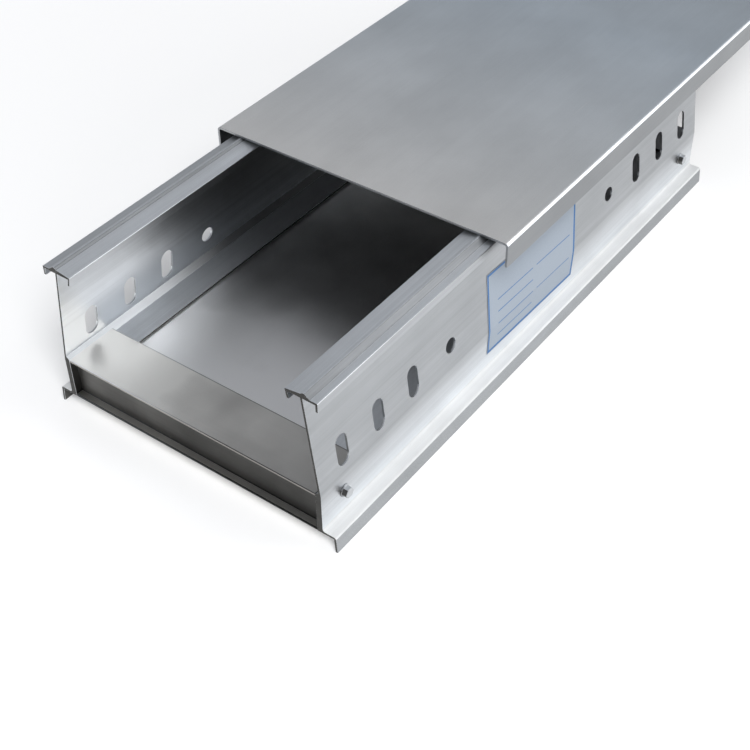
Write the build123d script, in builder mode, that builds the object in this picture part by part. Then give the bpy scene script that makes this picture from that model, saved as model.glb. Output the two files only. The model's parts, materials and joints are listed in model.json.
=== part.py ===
import os
from build123d import *

# Cable trough: two extruded side rails, a floor sheet, two cross members and a loose cover
# Millimetres, +X across, +Y along the length, +Z up, the feet stand on Z = 0
# The photographed pose is kept: the cover is slid back and overhangs the far end

# Trough
trough_length = 400.0
cover_slid = 147.0        # how far the cover is slid back from flush
fit_gap = 0.2             # clearance of the floor sheet in its groove and of a screw in its hole
cover_gap = 0.3           # air between the ridges and the cover, so that it slides freely

# Rail section, right-hand rail, measured from the middle of the trough
wall = 1.3
leg_half_width = 88.0     # middle to the outside of the thick lower leg
leg_wall = 3.4
foot_height = 10.5        # floor to the top of the foot flange
foot_flange = 9.0         # how far the foot flange and its lip reach outward of the leg
foot_lip_flare = 0.8
foot_fillet = 1.6
foot_corner = 1.3
deck_height = 34.2        # floor to the top of the inner flange
ledge_rise = 3.2          # sloped ledge between the inner flange and the thin web
ledge_run = 1.6           # how far the ledge starts inward of the leg
inner_flange_width = 19.0
groove_depth = 6.0
knee_height = 35.4        # where the web starts to lean inward
knee_fillet = 3.0
web_lean = 7.6            # how far the web's top leans inward of the leg
flange_height = 98.2      # floor to the top of the top flange
flange_inner = 10.4       # how far the top flange reaches inward of the web's outside
flange_outer = 8.9        # and outward of it
flange_lip_height = 5.6
flange_lip_lean = 1.0
ridge_offset = 0.8        # the ridge's crest lies this far outward of the web's outside
ridge_rise = 2.7          # before its crest is rounded
ridge_half_width = 3.6
ridge_fillet = 1.6
ridge_foot_fillet = 2.2       # soft rounding where the ridge meets the flange on both sides

# Holes in the webs, the same from both ends
slot_width = 9.0
slot_height = 19.0
slot_count = 3
first_slot = 20.5         # from the end of the rail to the first slot
slot_pitch = 30.0
round_hole_diameter = 9.0
round_hole_from_end = 115.0
hole_height = 50.4        # floor to the middle of the holes

# Floor sheet and cross members
sheet = 1.5
member_depth = 33.0
member_wall = 1.6
member_recess = 4.5       # its front wall lies this far behind its front edges
port_wall = 2.0           # wall of the round screw port inside the member
port_rib = 1.6

# Hexagon washer-head screws that hold the cross members
screw_diameter = 3.5
screw_across_flats = 5.5
screw_head_height = 3.2
screw_head_chamfer = 0.4
screw_washer_diameter = 7.2
screw_washer_height = 0.6
screw_length = 16.0
screw_from_end = 18.5
screw_height = 24.5       # floor to the screw's axis
thread_gap = 0.1

# Cover
cover_sheet = 1.5
cover_side_gap = 8.0      # inside of its lip to the tip of the top flange
cover_length = 400.0
cover_lip_height = 15.0
cover_bend_radius = 2.4

# Places worked out from the sizes above
trough_mid_y = -cover_slid / 2
far_end_y = trough_mid_y + trough_length / 2
foot_half_width = leg_half_width + foot_flange
leg_inside = leg_half_width - leg_wall
inner_flange_edge = leg_inside - inner_flange_width
deck_top = deck_height + member_wall
sheet_top = deck_height - wall - fit_gap
sheet_bottom = sheet_top - sheet
member_bottom = foot_height - wall
ledge_top = deck_height + ledge_rise
web_top_x = leg_half_width - web_lean
flange_under = flange_height - wall
flange_tip_in = web_top_x - flange_inner
flange_tip_out = web_top_x + flange_outer
lip_bottom = flange_height - flange_lip_height
ridge_x = web_top_x + ridge_offset
ridge_top = flange_height + ridge_rise
cover_half_width = flange_tip_out + cover_side_gap + cover_sheet
cover_mid_y = trough_mid_y + cover_slid + (cover_length - trough_length) / 2
end_sides = (-1, 1)


def web_outside(height):
    """X of the leaning web's outer face at a height above the knee."""
    return leg_half_width - web_lean * (height - knee_height) / (flange_under - knee_height)


def end_y(side, distance):
    """Y of a place at a distance from the near end (-1) or the far end (+1)."""
    return trough_mid_y + side * (trough_length / 2 - distance)


def rail_outline():
    """Closed outline of the right-hand rail's extruded section, in X and Z."""
    return [
        (foot_half_width - wall, 0),
        (foot_half_width, 0),
        (foot_half_width - foot_lip_flare, foot_height),
        (leg_half_width, foot_height),
        (leg_half_width, knee_height),
        (web_top_x, flange_under),
        (flange_tip_out - wall, flange_under),
        (flange_tip_out - wall, lip_bottom),
        (flange_tip_out, lip_bottom),
        (flange_tip_out, flange_height),
        (ridge_x + ridge_half_width, flange_height),
        (ridge_x, ridge_top),
        (ridge_x - ridge_half_width / 2, flange_height + ridge_rise / 2),
        (flange_tip_in, flange_height),
        (flange_tip_in + flange_lip_lean, lip_bottom),
        (flange_tip_in + flange_lip_lean + wall, lip_bottom),
        (flange_tip_in + wall, flange_under),
        (web_top_x - wall, flange_under),
        (web_outside(ledge_top) - wall, ledge_top),
        (leg_inside - ledge_run, deck_height),
        (inner_flange_edge, deck_height),
        (inner_flange_edge, deck_height - wall),
        (leg_inside, deck_height - wall),
        (leg_inside, sheet_bottom),
        (leg_inside - groove_depth, sheet_bottom),
        (leg_inside - groove_depth, sheet_bottom - wall),
        (leg_inside, sheet_bottom - wall),
        (leg_inside, member_bottom),
        (foot_half_width - foot_lip_flare - wall, member_bottom),
    ]


def long_edge(rail, x, z):
    """The rail's lengthwise edge that lies nearest to a place in its section."""
    return rail.edges().filter_by(Axis.Y).sort_by_distance((x, trough_mid_y, z))[0]


# Right-hand rail, then its mirror image
with BuildPart() as rail_right:
    with BuildSketch(Plane.XZ.offset(-far_end_y)):
        with BuildLine():
            Polyline(*rail_outline(), close=True)
        make_face()
    extrude(amount=trough_length)
    fillet(long_edge(rail_right, leg_half_width, foot_height), foot_fillet)
    fillet(long_edge(rail_right, foot_half_width - foot_lip_flare, foot_height), foot_corner)
    fillet(long_edge(rail_right, leg_half_width, knee_height), knee_fillet)
    fillet(long_edge(rail_right, ridge_x, ridge_top), ridge_fillet)
    for place in (
        (ridge_x + ridge_half_width, flange_height),
        (ridge_x - ridge_half_width / 2, flange_height + ridge_rise / 2),
    ):
        fillet(long_edge(rail_right, *place), ridge_foot_fillet)
    # The inner flange, the ledge's foot and the groove's lip are cut back where a cross member stands
    for side in end_sides:
        with BuildSketch(Plane.XY.offset(sheet_bottom - wall)):
            with Locations((inner_flange_edge, end_y(side, member_depth / 2))):
                Rectangle(2 * inner_flange_width, member_depth)
        extrude(amount=deck_top - sheet_bottom + wall, mode=Mode.SUBTRACT)
    # Slots, round holes and screw holes go straight through along X
    for side in end_sides:
        with BuildSketch(Plane.YZ.offset(web_top_x - 2 * wall)):
            with Locations(*[
                (end_y(side, first_slot + i * slot_pitch), hole_height) for i in range(slot_count)
            ]):
                SlotOverall(slot_height, slot_width, rotation=90)
            with Locations((end_y(side, round_hole_from_end), hole_height)):
                Circle(round_hole_diameter / 2)
        extrude(amount=web_lean + 4 * wall, mode=Mode.SUBTRACT)
        with BuildSketch(Plane.YZ.offset(leg_inside - wall)):
            with Locations((end_y(side, screw_from_end), screw_height)):
                Circle(screw_diameter / 2 + fit_gap)
        extrude(amount=leg_wall + 2 * wall, mode=Mode.SUBTRACT)

with BuildPart() as rail_left:
    add(mirror(rail_right.part, about=Plane.YZ))

# The cover lies just above the rounded crests
cover_top = rail_right.part.bounding_box().max.Z + cover_gap + cover_sheet

# Floor sheet, slipped into the rails' grooves between the cross members
with BuildPart() as floor_sheet:
    with BuildSketch(Plane.XY.offset(sheet_bottom)):
        with Locations((0, trough_mid_y)):
            Rectangle(2 * (leg_inside - fit_gap), trough_length - 2 * (member_depth + fit_gap))
    extrude(amount=sheet)


# Cross members: a hollow extrusion with front lips and a round screw port
def cross_member(side):
    """The cross member at the near end (-1) or the far end (+1), between the rails' legs."""
    front_wall = end_y(side, member_recess + member_wall / 2)
    back_wall = end_y(side, member_depth - member_wall / 2)
    height = deck_top - member_bottom
    mid_height = member_bottom + height / 2
    with BuildPart() as member:
        with BuildSketch(Plane.YZ.offset(-leg_inside)):
            with Locations(
                (end_y(side, member_depth / 2), deck_top - member_wall / 2),
                (end_y(side, member_depth / 2), member_bottom + member_wall / 2),
            ):
                Rectangle(member_depth, member_wall)
            with Locations((front_wall, mid_height), (back_wall, mid_height)):
                Rectangle(member_wall, height)
            with Locations((end_y(side, screw_from_end), mid_height)):
                Rectangle(port_rib, height)
            with Locations((end_y(side, screw_from_end), screw_height)):
                Circle(screw_diameter / 2 + thread_gap + port_wall)
                Circle(screw_diameter / 2 + thread_gap, mode=Mode.SUBTRACT)
        extrude(amount=2 * leg_inside)
    return member


cross_member_near = cross_member(-1)
cross_member_far = cross_member(1)


# Screws: the washer seats on the leg's outside, the shank runs into the member's port
def screw(side_x, side_y):
    """The screw at one corner of the trough, head outward."""
    seat = Plane(
        origin=(side_x * leg_half_width, end_y(side_y, screw_from_end), screw_height),
        x_dir=(0, 1, 0),
        z_dir=(side_x, 0, 0),
    )
    with BuildPart() as one_screw:
        with BuildSketch(seat):
            Circle(screw_washer_diameter / 2)
        extrude(amount=screw_washer_height)
        with BuildSketch(seat.offset(screw_washer_height)):
            RegularPolygon(screw_across_flats / 2, 6, major_radius=False)
        extrude(amount=screw_head_height)
        head_end = one_screw.faces().filter_by(Axis.X).sort_by(Axis.X)[-1 if side_x > 0 else 0]
        chamfer(head_end.edges(), screw_head_chamfer)
        with BuildSketch(seat):
            Circle(screw_diameter / 2)
        extrude(amount=-screw_length)
    return one_screw


screws = {
    "screw_near_right": screw(1, -1),
    "screw_near_left": screw(-1, -1),
    "screw_far_right": screw(1, 1),
    "screw_far_left": screw(-1, 1),
}

# Cover: one sheet with a lip folded down along each side
with BuildPart() as cover:
    with BuildSketch(Plane.XZ.offset(-cover_mid_y - cover_length / 2)):
        with BuildLine():
            FilletPolyline(
                (-cover_half_width, cover_top - cover_lip_height),
                (-cover_half_width, cover_top),
                (cover_half_width, cover_top),
                (cover_half_width, cover_top - cover_lip_height),
                radius=cover_bend_radius,
            )
            offset(amount=cover_sheet, side=Side.RIGHT)
        make_face()
    extrude(amount=cover_length)

pieces = {
    "rail_right": rail_right,
    "rail_left": rail_left,
    "floor_sheet": floor_sheet,
    "cross_member_near": cross_member_near,
    "cross_member_far": cross_member_far,
    **screws,
    "cover": cover,
}

os.makedirs("parts", exist_ok=True)
for name, piece in pieces.items():
    piece.part.label = name
    export_step(piece.part, f"parts/{name}.step")
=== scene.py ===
import json
import math

import bmesh
import bpy
from mathutils import Matrix, Vector

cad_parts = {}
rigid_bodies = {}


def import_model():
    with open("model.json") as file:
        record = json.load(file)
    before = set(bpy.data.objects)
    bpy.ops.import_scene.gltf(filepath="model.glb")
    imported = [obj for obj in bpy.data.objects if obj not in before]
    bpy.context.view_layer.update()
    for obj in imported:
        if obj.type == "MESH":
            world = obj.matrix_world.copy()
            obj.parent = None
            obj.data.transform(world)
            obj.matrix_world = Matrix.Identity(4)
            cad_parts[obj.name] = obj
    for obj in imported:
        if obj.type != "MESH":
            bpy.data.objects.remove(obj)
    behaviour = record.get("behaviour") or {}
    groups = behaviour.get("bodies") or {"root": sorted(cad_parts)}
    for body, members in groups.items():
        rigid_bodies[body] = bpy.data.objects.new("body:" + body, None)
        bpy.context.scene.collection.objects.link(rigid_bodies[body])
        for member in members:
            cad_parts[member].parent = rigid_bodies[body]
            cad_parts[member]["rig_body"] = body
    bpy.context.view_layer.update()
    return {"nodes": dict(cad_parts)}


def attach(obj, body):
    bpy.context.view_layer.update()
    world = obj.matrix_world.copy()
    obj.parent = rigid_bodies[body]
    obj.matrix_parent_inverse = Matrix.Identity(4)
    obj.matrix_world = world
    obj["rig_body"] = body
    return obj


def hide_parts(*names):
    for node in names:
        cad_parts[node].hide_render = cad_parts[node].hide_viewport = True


# Cable trough, metres, in the CAD's own frame: +X across, +Y along the length, +Z up
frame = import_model()
MM = 0.001

# Sizes from the CAD source, in millimetres
LEG_HALF_WIDTH = 88.0       # middle to the outside of the thick lower leg
KNEE_HEIGHT = 35.4          # where the web starts to lean inward
WEB_LEAN = 7.6
FLANGE_UNDER = 96.9         # underside of the top flange
FLANGE_HEIGHT = 98.2
FLANGE_TIPS = (70.0, 89.3)  # inner and outer tip of the top flange, from the middle
NEAR_END = -273.5           # the rails' ends along Y
FAR_END = 126.5
MEMBER_DEPTH = 33.0

# Tints of bare metal
PLAIN = (1.0, 1.0, 1.0)
COOL = (0.97, 1.0, 1.03)
WARM = (1.02, 1.0, 0.95)
FOOT_TINT = (0.99, 1.0, 1.0)
BRIGHTEST = 0.96            # no metal is painted paler than this

# Noise sizes in cells per metre
LINE_CELLS = 240
FINE_LINE_CELLS = 1700
CLOUD_CELLS = 26
SPECK_CELLS = 4200
HAIR_CELLS = 1100
SWELL_CELLS = 22
FIBRE_CELLS = 1800
LINE_STRETCH = 0.010        # lines and hairs run this much slower along the piece
HAIR_STRETCH = 0.02
GRAIN_HEIGHT = 0.00003

# Bevels, in millimetres
SHARP_EDGE = math.radians(28)
CORNER_BEVEL = 0.3
BEVEL_SEGMENTS = 2

# Label on the right-hand rail: its corners along Y and up Z, its size, its lines, in millimetres
LABEL_CORNERS = {
    "bl": (-124.4, 20.4),
    "br": (-31.9, 17.8),
    "tl": (-121.2, 71.9),
    "tr": (-27.2, 68.5),
}
LABEL_SIZE = (92.0, 47.0)
LABEL_GRID = (30, 24)
LABEL_MARGIN = 0.3
LABEL_BORDER = (1.7, 1.6)
LABEL_RULES = (             # from, to in height, then from, to in width
    (7, 7.5, 10, 46),
    (14, 14.5, 10, 46),
    (14, 14.5, 50, 86),
    (21, 21.5, 10, 46),
    (28, 28.5, 10, 46),
    (28, 28.5, 50, 86),
)
LABEL_OFF = 0.12            # how far the paper stands off the rail
LABEL_RIPPLE = 0.03
LABEL_CURL = 0.10
LABEL_THICKNESS = 0.08

# Studio
FLOOR_REACH = 6.0
FLOOR_TONE = 0.80
# Painted shade: the floor glows less near the object than away from it, so it reads darker around the object
FLOOR_GLOW_NEAR = 0.15      # glow of the floor under the object and away from it
FLOOR_GLOW_FAR = 0.26
GLOW_FROM = 0.26            # metres from the middle where the glow starts and stops rising
GLOW_TO = 0.52


def place_camera():
    """Camera at the photograph's viewing angle."""
    data = bpy.data.cameras.new("camera")
    data.lens = 65.395
    data.sensor_fit = "HORIZONTAL"
    data.sensor_width = 36.0
    data.clip_start = 0.01
    data.clip_end = 50.0
    camera = bpy.data.objects.new("camera", data)
    place = (0.38026, -0.61577, 0.52287)
    right = (0.8063045, 0.5913282, -0.0142868)
    down = (0.3891253, -0.5484725, -0.7401077)
    ahead = (-0.4454824, 0.5911928, -0.6723366)
    turn = Matrix((right, [-v for v in down], [-v for v in ahead])).transposed()
    camera.matrix_world = Matrix.Translation(place) @ turn.to_4x4()
    bpy.context.scene.collection.objects.link(camera)
    bpy.context.scene.camera = camera


class Graph:
    """A material and its node tree, with short calls for the nodes used here."""

    def __init__(self, name):
        self.material = bpy.data.materials.new(name)
        self.material.use_nodes = True
        self.tree = self.material.node_tree
        self.tree.nodes.clear()
        self.output = self.add("ShaderNodeOutputMaterial")
        self.shader = self.add("ShaderNodeBsdfPrincipled")
        self.link(self.shader.outputs["BSDF"], self.output.inputs["Surface"])
        self.coords = self.add("ShaderNodeTexCoord").outputs["Object"]

    def add(self, kind, **settings):
        node = self.tree.nodes.new(kind)
        for key, value in settings.items():
            setattr(node, key, value)
        return node

    def link(self, source, target):
        self.tree.links.new(source, target)

    def put(self, socket, value):
        if hasattr(value, "links"):
            self.link(value, socket)
        else:
            socket.default_value = value

    def noise(self, cells, stretch=(1, 1, 1), detail=2.0, rough=0.5, turn=(0, 0, 0)):
        """Noise of this many cells per metre, drawn out along an axis whose stretch is below 1."""
        mapping = self.add("ShaderNodeMapping")
        mapping.inputs["Scale"].default_value = stretch
        mapping.inputs["Rotation"].default_value = turn
        self.link(self.coords, mapping.inputs["Vector"])
        node = self.add("ShaderNodeTexNoise")
        node.inputs["Scale"].default_value = cells
        node.inputs["Detail"].default_value = detail
        node.inputs["Roughness"].default_value = rough
        self.link(mapping.outputs["Vector"], node.inputs["Vector"])
        return node.outputs["Fac"]

    def span(self, value, low, high, to_low, to_high):
        """Moves a value from one range to another, held at both ends."""
        node = self.add("ShaderNodeMapRange", clamp=True)
        node.inputs["From Min"].default_value = low
        node.inputs["From Max"].default_value = high
        node.inputs["To Min"].default_value = to_low
        node.inputs["To Max"].default_value = to_high
        self.link(value, node.inputs["Value"])
        return node.outputs["Result"]

    def vary(self, value, share, low=0.3, high=0.7):
        """A factor around 1 that follows a noise."""
        return self.span(value, low, high, 1 - share, 1 + share)

    def math(self, operation, a, b):
        node = self.add("ShaderNodeMath", operation=operation)
        self.put(node.inputs[0], a)
        self.put(node.inputs[1], b)
        return node.outputs["Value"]

    def times(self, a, b):
        return self.math("MULTIPLY", a, b)

    def mix(self, factor, a, b):
        node = self.add("ShaderNodeMix", data_type="RGBA")
        self.put(node.inputs[0], factor)
        self.put(node.inputs[6], a)
        self.put(node.inputs[7], b)
        return node.outputs[2]

    def scaled(self, colour, factor):
        node = self.add("ShaderNodeVectorMath", operation="SCALE")
        self.put(node.inputs[0], colour)
        self.link(factor, node.inputs["Scale"])
        return node.outputs["Vector"]

    def bump(self, height, strength, distance):
        node = self.add("ShaderNodeBump")
        node.inputs["Strength"].default_value = strength
        node.inputs["Distance"].default_value = distance
        self.link(height, node.inputs["Height"])
        return node.outputs["Normal"]

    def finish(self, **sockets):
        for name, value in sockets.items():
            self.put(self.shader.inputs[name.replace("_", " ")], value)
        return self.material


def tinted(tone, tint=PLAIN):
    return (tone * tint[0], tone * tint[1], tone * tint[2], 1.0)


def metal(
    name, tone, tint=COOL, rough=0.36, streak=0.06, cloud=0.05, along="y",
    grain=0.03, speck_cells=SPECK_CELLS, speck_depth=0.05, lines_depth=0.4, scratch=0.25,
    bands=(), reflection_and_smudge=0.0, reflection_and_smudge_cells=14, wave=0.0, far_tint=None, metallic=1.0,
):
    """Bare metal: lines along its length, soft clouds, fine grain and a few hairline scratches.

    Each band is an axis with a range along it and the two tone factors at its ends; bands paint light and
    shade into the tone. A large noise can also make the tone blotchy: on the floor sheet and the near member
    these blotches are painted patches of reflected light.
    """
    g = Graph(name)
    drawn = (lambda stretch: (1.0, stretch, 1.0)) if along == "y" else (lambda stretch: (stretch, 1.0, 1.0))
    wide = g.noise(LINE_CELLS, drawn(LINE_STRETCH), 3, 0.6)
    fine = g.noise(FINE_LINE_CELLS, drawn(LINE_STRETCH), 2, 0.5)
    clouds = g.noise(CLOUD_CELLS, (1, 0.6, 1), 4, 0.55)
    speck = g.noise(speck_cells, (1, 1, 1), 1, 0.5)
    hair = g.noise(HAIR_CELLS, drawn(HAIR_STRETCH), 1, 0.5, (0.0, 0.0, 0.03))

    # Tone
    shade = g.math("ADD", g.vary(wide, streak), g.span(fine, 0.3, 0.7, -streak / 2, streak / 2))
    shade = g.times(shade, g.vary(clouds, cloud, 0.35, 0.65))
    shade = g.times(shade, g.vary(speck, grain))
    place = g.add("ShaderNodeSeparateXYZ")
    g.link(g.coords, place.inputs[0])
    # Painted light and shade: each band makes the tone lighter or darker along an axis
    for axis, *band in bands:
        shade = g.times(shade, g.span(place.outputs[axis], *band))
    # Blotchy tone from a large noise: painted patches of reflected light on the floor sheet and the near
    # member
    if reflection_and_smudge:
        shade = g.times(shade, g.vary(g.noise(reflection_and_smudge_cells, (1, 1, 1), 2, 0.5), reflection_and_smudge, 0.35, 0.65))
    shade = g.math("MINIMUM", shade, BRIGHTEST / tone)
    hairs = g.times(g.span(hair, 0.74, 0.77, 0.0, 1.0), g.span(clouds, 0.5, 0.6, 0.0, scratch))
    base = tinted(tone, tint)[:3]
    if far_tint:
        drift = g.span(place.outputs["Y"], -0.15, 0.10, 0.0, 1.0)
        base = g.mix(drift, tinted(tone, tint), tinted(tone, far_tint))
    colour = g.mix(hairs, g.scaled(base, shade), tinted(min(1.0, tone * 1.3), tint))

    # Gloss and relief
    roughness = g.math(
        "ADD", g.span(clouds, 0.3, 0.7, rough + 0.04, rough - 0.04), g.span(fine, 0.3, 0.7, 0.02, -0.02)
    )
    height = g.math("ADD", g.times(fine, lines_depth), g.times(speck, speck_depth))
    normal = g.bump(height, 0.5, GRAIN_HEIGHT)
    if wave:
        swell = g.bump(g.noise(SWELL_CELLS, (1, 1, 1), 1, 0.4), 1.0, wave)
        g.link(swell, normal.node.inputs["Normal"])
    return g.finish(Base_Color=colour, Roughness=roughness, Normal=normal, Metallic=metallic)


def plain_paper(name, colour, rough=0.7):
    """Printed paper with a faint fibre."""
    g = Graph(name)
    fibre = g.noise(FIBRE_CELLS, (1, 1, 1), 3, 0.6)
    return g.finish(
        Base_Color=g.scaled(colour, g.vary(fibre, 0.03)),
        Roughness=g.span(fibre, 0.3, 0.7, rough, rough - 0.1),
        Normal=g.bump(fibre, 0.1, GRAIN_HEIGHT),
    )


def floor_material():
    """Pale floor that shows as white and keeps the object's shadow."""
    g = Graph("studio_floor")
    g.finish(Base_Color=tinted(FLOOR_TONE), Roughness=0.85)
    g.shader.inputs["Specular IOR Level"].default_value = 0.1
    rays = g.add("ShaderNodeLightPath").outputs
    seen = g.math("MAXIMUM", rays["Is Camera Ray"], rays["Is Glossy Ray"])
    seen = g.math("MAXIMUM", seen, rays["Is Transmission Ray"])
    away = g.add("ShaderNodeVectorMath", operation="LENGTH")
    g.link(g.coords, away.inputs[0])
    level = g.span(away.outputs["Value"], GLOW_FROM, GLOW_TO, FLOOR_GLOW_NEAR, FLOOR_GLOW_FAR)
    glow = g.add("ShaderNodeEmission")
    g.put(glow.inputs["Strength"], g.times(seen, level))
    both = g.add("ShaderNodeAddShader")
    g.link(g.shader.outputs[0], both.inputs[0])
    g.link(glow.outputs[0], both.inputs[1])
    g.link(both.outputs[0], g.output.inputs["Surface"])
    return g.material


def dressed(node, materials, pick, bevel, edge=None, corner=None):
    """A copy of a CAD node with softly broken edges, its faces sorted into materials.

    pick(place, normal) names a face's material, edge the one on the broken edges.
    Edges for which corner(end, end) is true get a flat polished chamfer instead.
    """
    source = frame["nodes"][node]
    names = list(materials)
    edge_index = names.index(edge) if edge else -1
    mesh = bpy.data.meshes.new(node + "_metal")
    bm = bmesh.new()
    bm.from_mesh(source.data)
    bmesh.ops.remove_doubles(bm, verts=bm.verts, dist=2e-6)
    bmesh.ops.dissolve_limit(bm, angle_limit=math.radians(0.4), verts=bm.verts, edges=bm.edges)
    bmesh.ops.recalc_face_normals(bm, faces=bm.faces)
    for face in bm.faces:
        face.smooth = True
        face.material_index = names.index(pick(face.calc_center_median() / MM, face.normal))
    if corner:
        chosen = [e for e in bm.edges if corner(e.verts[0].co / MM, e.verts[1].co / MM)]
        made = bmesh.ops.bevel(
            bm, geom=chosen, offset=CORNER_BEVEL * MM, offset_type="OFFSET", segments=1, profile=0.5,
            affect="EDGES", material=edge_index, clamp_overlap=True,
        )
        for face in made["faces"]:
            face.smooth = False
    weight = bm.edges.layers.float.new("bevel_weight_edge")
    for e in bm.edges:
        if len(e.link_faces) == 2 and e.calc_face_angle() > SHARP_EDGE:
            e[weight] = float(all(face.smooth for face in e.link_faces))
    bm.to_mesh(mesh)
    bm.free()
    for material in materials.values():
        mesh.materials.append(material)
    piece = bpy.data.objects.new(node + "_metal", mesh)
    bpy.context.scene.collection.objects.link(piece)
    edges = piece.modifiers.new("edges", "BEVEL")
    edges.width = bevel * MM
    edges.segments = BEVEL_SEGMENTS
    edges.material = edge_index
    edges.limit_method = "WEIGHT"
    edges.use_clamp_overlap = True
    flat = piece.modifiers.new("flat", "WEIGHTED_NORMAL")
    flat.mode = "FACE_AREA"
    flat.weight = 100
    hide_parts(node)
    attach(piece, source["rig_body"])
    return piece


def web_x(z):
    """Outside of the right-hand rail's leg and leaning web at a height, in millimetres."""
    knee_half = 1.5
    if z <= KNEE_HEIGHT - knee_half:
        return LEG_HALF_WIDTH
    x = LEG_HALF_WIDTH - WEB_LEAN / (FLANGE_UNDER - KNEE_HEIGHT) * (z - KNEE_HEIGHT)
    if z < KNEE_HEIGHT + knee_half:
        blend = (z - KNEE_HEIGHT + knee_half) / (2 * knee_half)
        return LEG_HALF_WIDTH * (1 - blend) + x * blend
    return x


def grid_lines(size, cells, extra):
    """Places of the grid's lines along one side: even cells and the lines that the print needs."""
    even = [round(size * i / cells, 3) for i in range(cells + 1)]
    return sorted(set(extra + even))


def label(paper, ink):
    """A blank printed form: a border and a few ruled lines, with nothing written."""
    width, height = LABEL_SIZE
    margin = LABEL_MARGIN
    side, foot = LABEL_BORDER
    across = grid_lines(
        width, LABEL_GRID[0],
        [0, margin, side, 10, 24, 26, 46, 50, 60, 75, 86, width - side, width - margin, width],
    )
    up = grid_lines(
        height, LABEL_GRID[1],
        [0, margin, foot, 7, 7.5, 10, 12, 14, 14.5, 18, 21, 21.5, 25, 28, 28.5, 34, 40,
         height - foot, height - margin, height],
    )

    def on_rail(s, t):
        """Y and Z of a place at the shares s across and t up."""
        low = [(1 - s) * a + s * b for a, b in zip(LABEL_CORNERS["bl"], LABEL_CORNERS["br"])]
        high = [(1 - s) * a + s * b for a, b in zip(LABEL_CORNERS["tl"], LABEL_CORNERS["tr"])]
        return [(1 - t) * a + t * b for a, b in zip(low, high)]

    mesh = bpy.data.meshes.new("label_right")
    bm = bmesh.new()
    grid = []
    for v in up:
        row = []
        for u in across:
            y, z = on_rail(u / width, v / height)
            edge = min(u, width - u, v, height - v)
            ripple = LABEL_RIPPLE * math.sin(u * 0.33) * math.sin(v * 0.41 + 1.0)
            off = LABEL_OFF + ripple + LABEL_CURL * max(0.0, 1.0 - edge / 1.5)
            row.append(bm.verts.new(((web_x(z) + off) * MM, y * MM, z * MM)))
        grid.append(row)
    for j in range(len(up) - 1):
        for i in range(len(across) - 1):
            face = bm.faces.new((grid[j][i], grid[j][i + 1], grid[j + 1][i + 1], grid[j + 1][i]))
            u = (across[i] + across[i + 1]) / 2
            v = (up[j] + up[j + 1]) / 2
            inside = margin < u < width - margin and margin < v < height - margin
            border = inside and not (side < u < width - side and foot < v < height - foot)
            ruled = any(a < v < b and c < u < d for a, b, c, d in LABEL_RULES)
            face.material_index = 1 if border or ruled else 0
            face.smooth = True
    bm.to_mesh(mesh)
    bm.free()
    mesh.materials.append(paper)
    mesh.materials.append(ink)
    piece = bpy.data.objects.new("label_right", mesh)
    bpy.context.scene.collection.objects.link(piece)
    thick = piece.modifiers.new("thick", "SOLIDIFY")
    thick.thickness = LABEL_THICKNESS * MM
    thick.offset = -1
    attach(piece, "trough")


def lamp(name, place, size, radiance, mirrored):
    """A rectangular lamp that looks at the object. One that isn't mirrored lights only matt surfaces."""
    aim = (0, -0.05, 0.0)
    data = bpy.data.lights.new(name, "AREA")
    data.shape = "RECTANGLE"
    data.size, data.size_y = size
    data.energy = radiance * math.pi * size[0] * size[1]
    light = bpy.data.objects.new(name, data)
    light.location = place
    light.rotation_euler = (Vector(aim) - Vector(place)).to_track_quat("-Z", "Y").to_euler()
    light.visible_glossy = mirrored
    bpy.context.scene.collection.objects.link(light)


def studio():
    """Soft even sky, two lamps and a plain pale floor."""
    world = bpy.data.worlds.new("studio")
    bpy.context.scene.world = world
    world.use_nodes = True
    tree = world.node_tree
    tree.nodes.clear()
    out = tree.nodes.new("ShaderNodeOutputWorld")
    back = tree.nodes.new("ShaderNodeBackground")
    coords = tree.nodes.new("ShaderNodeTexCoord")
    split = tree.nodes.new("ShaderNodeSeparateXYZ")
    ramp = tree.nodes.new("ShaderNodeValToRGB")
    tree.links.new(coords.outputs["Generated"], split.inputs[0])
    tree.links.new(split.outputs["Z"], ramp.inputs[0])
    low, high = ramp.color_ramp.elements
    low.position = 0.0
    low.color = (0.40, 0.41, 0.43, 1)
    high.position = 1.0
    high.color = (0.33, 0.34, 0.36, 1)
    tree.links.new(ramp.outputs[0], back.inputs["Color"])
    tree.links.new(back.outputs[0], out.inputs["Surface"])
    lamp("key", (1.20, 1.10, 1.10), (1.4, 2.4), 1.45, True)
    lamp("fill", (0.99, -1.04, 1.69), (0.9, 0.9), 16.0, False)
    bpy.context.scene.view_settings.view_transform = "Standard"

    mesh = bpy.data.meshes.new("floor")
    reach = FLOOR_REACH
    corners = [(-reach, -reach, 0), (reach, -reach, 0), (reach, reach, 0), (-reach, reach, 0)]
    mesh.from_pydata(corners, [], [(0, 1, 2, 3)])
    mesh.materials.append(floor_material())
    floor = bpy.data.objects.new("floor", mesh)
    bpy.context.scene.collection.objects.link(floor)


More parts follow.
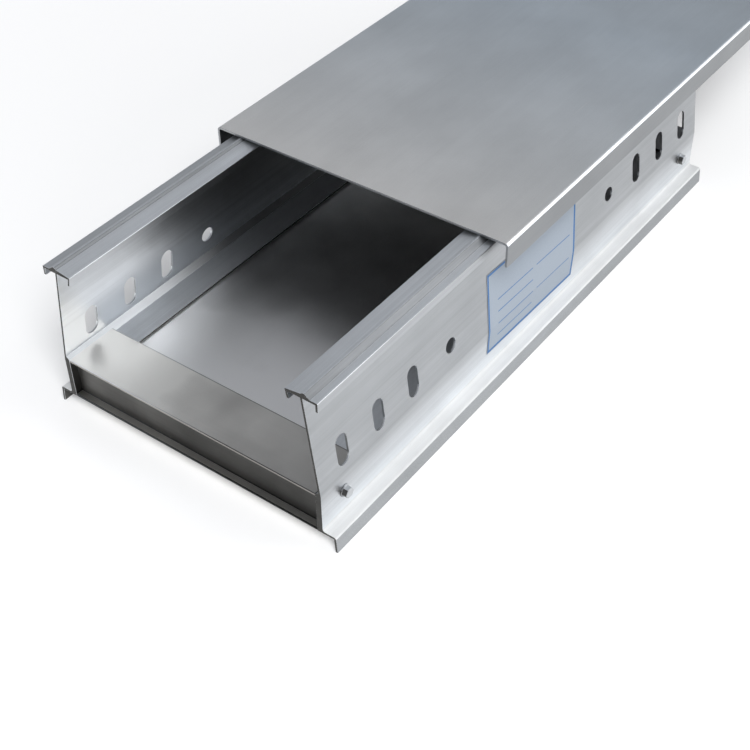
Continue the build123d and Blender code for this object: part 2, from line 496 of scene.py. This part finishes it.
def rails():
    """Both side rails."""
    # One aluminium split into lit and shaded copies: each group of faces gets its own tone, set to the light
    # it catches
    finishes = {
        # Painted light: the leg is painted paler towards the foot, a painted dark crease runs at the knee,
        # and faces above 92 mm are painted a little paler
        "outside": metal("rail_metal", 0.405, bands=[
            ("Z", 0.009, 0.036, 2.35, 1.03),
            ("Z", 0.035, 0.037, 1.0, 0.93),
            ("Z", 0.037, 0.040, 1.0, 1.07),
            ("Z", 0.0910, 0.0922, 1.0, 1.1),
        ]),
        # Painted shade: the rails' end faces and the step along the deck's edge are painted near black
        "cut": metal("end_and_step_shade_metal", 0.07, WARM, 0.5, 0.10, 0.1, "x"),
        # Painted light and shade: the inner web is painted paler low down and darker high up, slightly
        # darker at the very near end, and darker under the cover
        "inside": metal("rail_inside_metal", 0.86, rough=0.34, lines_depth=0.2, bands=[
            ("Z", 0.045, 0.085, 1.42, 0.76),
            ("Y", -0.273, -0.243, 0.95, 1.0),
            ("Y", -0.21, -0.14, 1.0, 0.72),
        ]),
        # Painted shade: top faces turned towards +X take this darker copy; on the left rail the top outside
        # 83.5 mm is painted darker
        "ridge": metal("rail_ridge_metal", 0.48, rough=0.62, streak=0.08),
        "top": metal("rail_top_metal", 0.85, rough=0.62, streak=0.05, bands=[
            ("X", -0.0835, -0.0805, 0.78, 1.0),
        ]),
        # Painted shade: the foot's downturned lip is a darker copy
        "foot_lip": metal("rail_lip_metal", 0.42, rough=0.5, grain=0.12, streak=0.03, speck_cells=2600),
        # Painted light: the foot is a near-white, less metallic lit copy
        "foot": metal("rail_foot_metal", 0.84, FOOT_TINT, rough=0.7, streak=0.03, metallic=0.45),
        # Painted shade: the leg's inner face under the ledge is painted near black
        "leg_inside": metal("leg_inside_metal", 0.10, WARM, 0.45, 0.05, 0.1),
        # Painted shade: the ledge darkens under the cover
        "ledge": metal("rail_ledge_metal", 0.71, rough=0.45, streak=0.04, bands=[
            ("Y", -0.24, -0.11, 1.0, 0.48),
        ]),
        # Painted shade: the deck darkens under the cover
        "inner_flange": metal("rail_deck_metal", 0.88, rough=0.64, streak=0.04, bands=[
            ("Y", -0.23, -0.12, 1.0, 0.42),
        ]),
        # Painted light: the foot's bend is a near-white, less metallic lit copy, like the foot
        "foot_bend": metal("rail_foot_bend_metal", 0.82, FOOT_TINT, rough=0.7, streak=0.03, metallic=0.6),
        # Broken edges and chamfers take a paler, glossier copy: their bright lines are partly reflection,
        # partly painted highlight
        "edge": metal("rail_edge_metal", 0.9, rough=0.34, streak=0.0, grain=0.0, cloud=0.0, scratch=0.0),
    }

    def pick(place, normal):
        side = abs(place.x)
        outward = normal.x * math.copysign(1, place.x)
        to_end = min(abs(place.y - NEAR_END), abs(place.y - FAR_END))
        # End faces take the near-black painted shade
        if abs(normal.y) > 0.9 and to_end < 0.3:
            return "cut"
        # Facing picks the lit or shaded copy of the flange top
        if place.z > FLANGE_HEIGHT - 0.6 and normal.z > 0.3:
            return "ridge" if normal.x > 0.25 else "top"
        if place.z < 9 and outward > 0.9:
            return "foot_lip"
        if place.z < 15 and normal.z > 0.05 and side > LEG_HALF_WIDTH:
            return "foot" if normal.z > 0.97 else "foot_bend"
        if outward < -0.9 and place.z < 30 and side > 84:
            return "leg_inside"
        if 33 < place.z < 39 and normal.z > 0.3:
            return "inner_flange" if normal.z > 0.95 else "ledge"
        # The step's edge face under the floor sheet takes the near-black painted shade
        if outward < -0.9 and 32.6 < place.z < 34.3 and side < 70:
            return "cut"
        if outward < 0 or place.z < 33 and side < 84:
            return "inside"
        return "outside"

    def flange_corner(a, b):
        """True for the two upper corners of the top flange."""
        return all(
            abs(v.z - FLANGE_HEIGHT) < 0.1 and min(abs(abs(v.x) - tip) for tip in FLANGE_TIPS) < 0.4
            for v in (a, b)
        )

    for side in ("right", "left"):
        dressed("rail_" + side, finishes, pick, 0.5, "edge", flange_corner)


def cross_members_and_screws():
    """A cross member with its two screws at each end. The near one has the photograph's patches of light."""
    back_edge = NEAR_END + MEMBER_DEPTH
    # Painted light: the near member's top is paler than the far one's, painted bright at its left end and
    # darker to the right, with painted patches of reflected light
    near_top = metal(
        "member_metal", 0.74, (1.01, 0.99, 0.945), 0.42, 0.01, 0.04, "x", scratch=0.05, lines_depth=0.0,
        wave=0.00025, speck_depth=0.03, reflection_and_smudge=0.16, reflection_and_smudge_cells=22, bands=[
            ("X", -0.055, 0.010, 1.85, 0.92),
            ("X", 0.0, 0.08, 1.0, 0.66),
            # Painted shadow: a dark line along the top's back edge, where it meets the floor sheet
            ("Y", (back_edge - 0.7) * MM, (back_edge - 0.5) * MM, 1.0, 0.3),
        ],
    )
    far_top = metal("member_far_metal", 0.40, COOL, 0.36, 0.01, 0.04, "x", scratch=0.0, lines_depth=0.0)
    shared = {
        # Painted shade: the front wall is near black, painted paler towards the left end
        "wall": metal("member_front_metal", 0.065, WARM, 0.45, 0.05, 0.2, "x", bands=[
            ("X", -0.08, 0.0, 2.0, 1.0),
        ]),
        # Lit copy: the bottom lip's top is painted pale
        "bottom": metal("member_lip_metal", 0.80, WARM, 0.45, 0.05, 0.1, "x"),
        # Painted shade: the bottom lip's front face is painted near black
        "bottom_front": metal("member_edge_metal", 0.012, WARM, 0.5, 0.05, 0.1, "x"),
        # Painted highlight and shade: the broken edges are painted bright at the left end and near black to
        # the right, and dark below 18 mm
        "edge": metal("member_top_edge_metal", 0.72, COOL, 0.42, 0.0, 0.0, "x", scratch=0.0, bands=[
            ("X", -0.05, 0.02, 1.3, 0.07),
            ("Z", 0.018, 0.030, 0.13, 1.0),
        ]),
        # Painted light: the top's front face is painted paler at the left end and darker to the right
        "top_front": metal("member_top_front_metal", 0.36, (1.05, 1.0, 0.94), 0.45, 0.03, 0.05, "x", scratch=0.0, bands=[
            ("X", -0.05, 0.05, 1.1, 0.8),
        ]),
    }

    screw = {
        "steel": metal("screw_metal", 0.58, COOL, 0.3, 0.02, 0.1),
        # Painted shade: screw faces turned down or towards the near end are a dark copy
        "shaded_side": metal("screw_side_metal", 0.15, WARM, 0.4, 0.02, 0.1),
    }

    def member_pick(place, normal):
        low = place.z < 12
        if abs(normal.y) > 0.9:
            return "bottom_front" if low else "wall" if place.z < 34.2 else "top_front"
        return "bottom" if low else "top"

    def screw_pick(place, normal):
        # Faces turned away from the light take the painted shade
        turned = normal.z < -0.2 or normal.y < -0.8
        return "shaded_side" if abs(normal.x) < 0.5 and turned else "steel"

    for end, top in (("near", near_top), ("far", far_top)):
        dressed("cross_member_" + end, {"top": top, **shared}, member_pick, 0.3, "edge")
        for side in ("right", "left"):
            dressed(f"screw_{end}_{side}", screw, screw_pick, 0.2)


def floor_sheet():
    """Flat sheet, painted paler at the near end and at its left, with painted shade under the cover and
    along the right-hand rail, and soft painted patches of reflected light.
    """
    finish = metal(
        "floor_metal", 0.90, PLAIN, 0.39, 0.01, 0.04, scratch=0.0, lines_depth=0.0, wave=0.0002,
        speck_depth=0.03, reflection_and_smudge=0.14, reflection_and_smudge_cells=20, bands=[
            # Painted light and shade: paler to the left, darker along the right-hand rail, darker under the
            # cover
            ("X", -0.06, 0.0, 1.15, 1.0),
            ("X", 0.045, 0.080, 1.0, 0.62),
            ("Y", -0.205, -0.150, 1.10, 0.68),
        ],
    )
    dressed("floor_sheet", {"sheet": finish}, lambda place, normal: "sheet", 0.25)


def cover():
    """Satin sheet in lit and shaded copies: a bright line along each bend, partly painted highlight, painted
    shade on the lips and underside, and the top painted paler at the near end.
    """
    finishes = {
        # Painted light: the top is paler at its near end and darker towards the far end; its tint turns
        # cooler towards the far end
        "top": metal(
            "cover_metal", 0.75, (1.02, 1.005, 0.98), 0.66, 0.01, 0.03, lines_depth=0.1, scratch=0.1,
            bands=[("Y", -0.126, 0.16, 1.16, 0.86)], reflection_and_smudge=0.04, far_tint=(0.92, 1.0, 1.07),
        ),
        "end": metal("cover_edge_metal", 0.40, COOL, 0.4),
        # Painted shade: the lips are a darker copy of the top's metal
        "lip": metal("cover_lip_metal", 0.315, COOL, 0.45, 0.01, 0.02, lines_depth=0.1, scratch=0.0),
        # Painted highlight: the bends are a paler, glossier copy
        "bend": metal("cover_bend_metal", 0.92, COOL, 0.30, 0.01, 0.01, lines_depth=0.1, scratch=0.0),
        # Painted shade: the underside is painted near black
        "under": metal("cover_under_metal", 0.06, COOL, 0.55, 0.01, 0.02, lines_depth=0.1, scratch=0.0),
    }

    def pick(place, normal):
        if abs(normal.y) > 0.9:
            return "end"
        if normal.z < -0.5 or normal.x * place.x < 0:
            return "under"
        if abs(normal.x) > 0.92:
            return "lip"
        return "top" if abs(normal.z) > 0.90 else "bend"

    dressed("cover", finishes, pick, 0.25)


place_camera()
studio()
rails()
cross_members_and_screws()
floor_sheet()
cover()
label(plain_paper("label_paper", (0.32, 0.365, 0.422)), plain_paper("label_ink", (0.015, 0.12, 0.33), 0.5))
